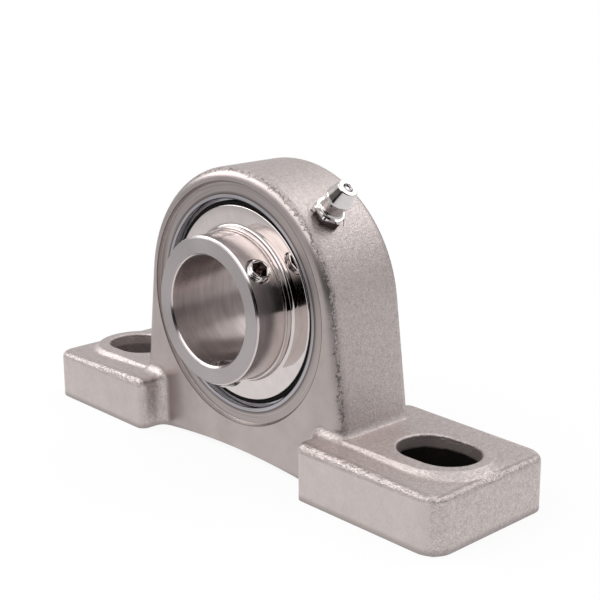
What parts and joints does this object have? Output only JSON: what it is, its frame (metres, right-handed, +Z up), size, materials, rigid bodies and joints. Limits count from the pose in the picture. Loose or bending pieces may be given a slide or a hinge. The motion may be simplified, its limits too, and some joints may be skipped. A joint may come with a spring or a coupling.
{
  "type": "pillow block bearing",
  "caption": "Cast steel pillow block with two slotted feet, a self-aligning ball bearing insert locked by set screws, and a grease nipple.",
  "frame": {"origin": "centre of the base plane, midway between the two bolt slots and straight below the shaft's centre", "axes": "+X along the base from slot to slot, +Y along the shaft away from the locking side, +Z up from the base"},
  "size_m": [0.155, 0.0435, 0.08],
  "materials": {
    "cast_steel": "bead-blasted stainless casting",
    "ground_steel": "ground and honed",
    "polished_steel": "mirror polished sheet",
    "cage_steel": "pressed sheet",
    "ball_steel": "lapped",
    "plated_steel": "bright plated",
    "seal_rubber": "moulded"
  },
  "bodies": {
    "housing": {"housing": "cast_steel", "nipple_body": "plated_steel", "nipple_spring": "cage_steel"},
    "insert_outer": {"outer_ring": "ground_steel", "seal_plate_front": "cage_steel", "seal_plate_rear": "cage_steel", "seal_front": "seal_rubber", "seal_rear": "seal_rubber"},
    "insert_inner": {"inner_ring": "ground_steel", "flinger_front": "polished_steel", "flinger_rear": "polished_steel"},
    "cage": {"cage_half_front": "cage_steel", "cage_half_rear": "cage_steel", "cage_rivets": "cage_steel"},
    "ball_1": {"ball_1": "ball_steel"},
    "ball_2": {"ball_2": "ball_steel"},
    "ball_3": {"ball_3": "ball_steel"},
    "ball_4": {"ball_4": "ball_steel"},
    "ball_5": {"ball_5": "ball_steel"},
    "ball_6": {"ball_6": "ball_steel"},
    "ball_7": {"ball_7": "ball_steel"},
    "ball_8": {"ball_8": "ball_steel"},
    "ball_9": {"ball_9": "ball_steel"},
    "set_screw_1": {"set_screw_1": "plated_steel"},
    "set_screw_2": {"set_screw_2": "plated_steel"},
    "nipple_ball": {"nipple_ball": "ball_steel"}
  },
  "joints": [
    {"name": "insert_swivel", "type": "hinge", "parent": "housing", "child": "insert_outer", "pos_m": [0, 0, 0.0429], "axis": [1, 0, 0], "range_deg": [-2, 2]},
    {"name": "shaft_spin", "type": "hinge", "parent": "insert_outer", "child": "insert_inner", "pos_m": [0, 0, 0.0429], "axis": [0, 1, 0], "continuous": true},
    {"name": "cage_orbit", "type": "hinge", "parent": "insert_outer", "child": "cage", "pos_m": [0, 0, 0.0429], "axis": [0, 1, 0], "continuous": true},
    {"name": "ball_1_roll", "type": "hinge", "parent": "cage", "child": "ball_1", "pos_m": [0.023, 0, 0.0429], "axis": [0, 1, 0], "continuous": true},
    {"name": "ball_2_roll", "type": "hinge", "parent": "cage", "child": "ball_2", "pos_m": [0.01762, 0, 0.05769], "axis": [0, 1, 0], "continuous": true},
    {"name": "ball_3_roll", "type": "hinge", "parent": "cage", "child": "ball_3", "pos_m": [0.00399, 0, 0.06555], "axis": [0, 1, 0], "continuous": true},
    {"name": "ball_4_roll", "type": "hinge", "parent": "cage", "child": "ball_4", "pos_m": [-0.0115, 0, 0.06282], "axis": [0, 1, 0], "continuous": true},
    {"name": "ball_5_roll", "type": "hinge", "parent": "cage", "child": "ball_5", "pos_m": [-0.02162, 0, 0.05077], "axis": [0, 1, 0], "continuous": true},
    {"name": "ball_6_roll", "type": "hinge", "parent": "cage", "child": "ball_6", "pos_m": [-0.02162, 0, 0.03503], "axis": [0, 1, 0], "continuous": true},
    {"name": "ball_7_roll", "type": "hinge", "parent": "cage", "child": "ball_7", "pos_m": [-0.0115, 0, 0.02298], "axis": [0, 1, 0], "continuous": true},
    {"name": "ball_8_roll", "type": "hinge", "parent": "cage", "child": "ball_8", "pos_m": [0.00399, 0, 0.02025], "axis": [0, 1, 0], "continuous": true},
    {"name": "ball_9_roll", "type": "hinge", "parent": "cage", "child": "ball_9", "pos_m": [0.01762, 0, 0.02811], "axis": [0, 1, 0], "continuous": true},
    {"name": "set_screw_1_travel", "type": "slide", "parent": "insert_inner", "child": "set_screw_1", "axis": [0.7716, 0, 0.6361], "range_m": [-0.0015, 0.0015]},
    {"name": "set_screw_2_travel", "type": "slide", "parent": "insert_inner", "child": "set_screw_2", "axis": [0.165, 0, -0.9863], "range_m": [-0.0015, 0.0015]},
    {"name": "nipple_ball_press", "type": "slide", "parent": "housing", "child": "nipple_ball", "axis": [-0.6947, 0, -0.7193], "range_m": [0, 0.0008], "stiffness_N_per_m": 300, "springref_m": -0.0004, "deforming": ["nipple_spring"]}
  ],
  "couplings": [
    {"joint": "cage_orbit", "follows": "shaft_spin", "ratio": 0.39648},
    {"joint": "ball_1_roll", "follows": "shaft_spin", "ratio": -2.3114},
    {"joint": "ball_2_roll", "follows": "shaft_spin", "ratio": -2.3114},
    {"joint": "ball_3_roll", "follows": "shaft_spin", "ratio": -2.3114},
    {"joint": "ball_4_roll", "follows": "shaft_spin", "ratio": -2.3114},
    {"joint": "ball_5_roll", "follows": "shaft_spin", "ratio": -2.3114},
    {"joint": "ball_6_roll", "follows": "shaft_spin", "ratio": -2.3114},
    {"joint": "ball_7_roll", "follows": "shaft_spin", "ratio": -2.3114},
    {"joint": "ball_8_roll", "follows": "shaft_spin", "ratio": -2.3114},
    {"joint": "ball_9_roll", "follows": "shaft_spin", "ratio": -2.3114}
  ]
}
